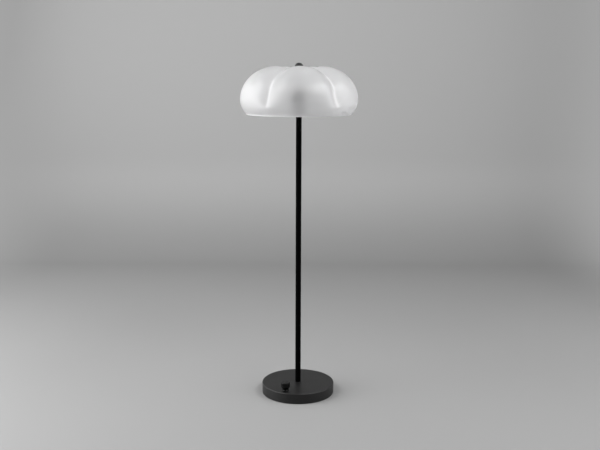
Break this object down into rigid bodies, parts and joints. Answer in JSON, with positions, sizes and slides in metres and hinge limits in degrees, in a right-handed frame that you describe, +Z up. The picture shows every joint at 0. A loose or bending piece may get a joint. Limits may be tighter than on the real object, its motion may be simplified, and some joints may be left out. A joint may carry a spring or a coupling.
{
  "type": "mushroom floor lamp",
  "caption": "Slim black floor lamp with a heavy round base, a straight tubular stem and a wide lobed mushroom shade of frosted glass under a domed finial.",
  "frame": {"origin": "centre of the base's underside, on the stem's axis", "axes": "+Z up the stem, -Y the front, with the dimmer knob at the front left; the cable inlet faces +Y"},
  "size_m": [0.3911, 0.389, 1.1383],
  "materials": {
    "satin_black_paint": "satin black powder coat",
    "foam_rubber": "closed-cell foam",
    "moulded_rubber": "matte",
    "silicone": "translucent, matte",
    "zinc_plated_steel": "zinc plated",
    "cast_iron": "as cast, primed",
    "brass": "turned",
    "dark_moulding": "moulded",
    "pale_moulding": "moulded",
    "lead_sheath": "soft sheath",
    "glazed_ceramic": "glazed steatite",
    "lamp_glass": "frosted",
    "frosted_glass": "satin frosted, with a polished rim"
  },
  "bodies": {
    "lamp_stand": {"base_cover": "satin_black_paint", "stem_tube": "satin_black_paint", "lamp_cup": "satin_black_paint", "cup_lid": "satin_black_paint", "finial": "satin_black_paint", "cap_washer": "satin_black_paint", "shade_seat": "satin_black_paint", "foot_pad": "foam_rubber", "cable_inlet": "moulded_rubber", "lower_gasket": "silicone", "upper_gasket": "silicone", "bottom_plate": "zinc_plated_steel", "plate_screws": "zinc_plated_steel", "terminal_screw": "zinc_plated_steel", "earth_screw": "zinc_plated_steel", "stem_nipple": "zinc_plated_steel", "stem_washer": "zinc_plated_steel", "stem_lock_washer": "zinc_plated_steel", "stem_nut": "zinc_plated_steel", "stem_lower_plug": "zinc_plated_steel", "stem_upper_plug": "zinc_plated_steel", "dimmer_washer": "zinc_plated_steel", "dimmer_nut": "zinc_plated_steel", "riser": "zinc_plated_steel", "cup_nut": "zinc_plated_steel", "lid_nut": "zinc_plated_steel", "holder_clips": "zinc_plated_steel", "seat_nut": "zinc_plated_steel", "base_weight": "cast_iron", "dimmer_bush": "brass", "dimmer_body": "dark_moulding", "terminal_block": "pale_moulding", "lead_splice": "pale_moulding", "stem_lead": "lead_sheath", "dimmer_lead": "lead_sheath", "holder_tails": "lead_sheath", "lampholder_1": "glazed_ceramic", "lampholder_2": "glazed_ceramic", "lampholder_3": "glazed_ceramic", "lamp_foot_1": "glazed_ceramic", "lamp_foot_2": "glazed_ceramic", "lamp_foot_3": "glazed_ceramic", "lamp_capsule_1": "lamp_glass", "lamp_capsule_2": "lamp_glass", "lamp_capsule_3": "lamp_glass", "shade": "frosted_glass"},
    "dimmer_control": {"dimmer_knob": "satin_black_paint", "dimmer_shaft": "zinc_plated_steel", "knob_screw": "zinc_plated_steel"}
  },
  "joints": [
    {"name": "dimmer_turn", "type": "hinge", "parent": "lamp_stand", "child": "dimmer_control", "pos_m": [-0.04209, -0.09236, 0.037], "axis": [0, 0, 1], "range_deg": [-300, 0]}
  ]
}
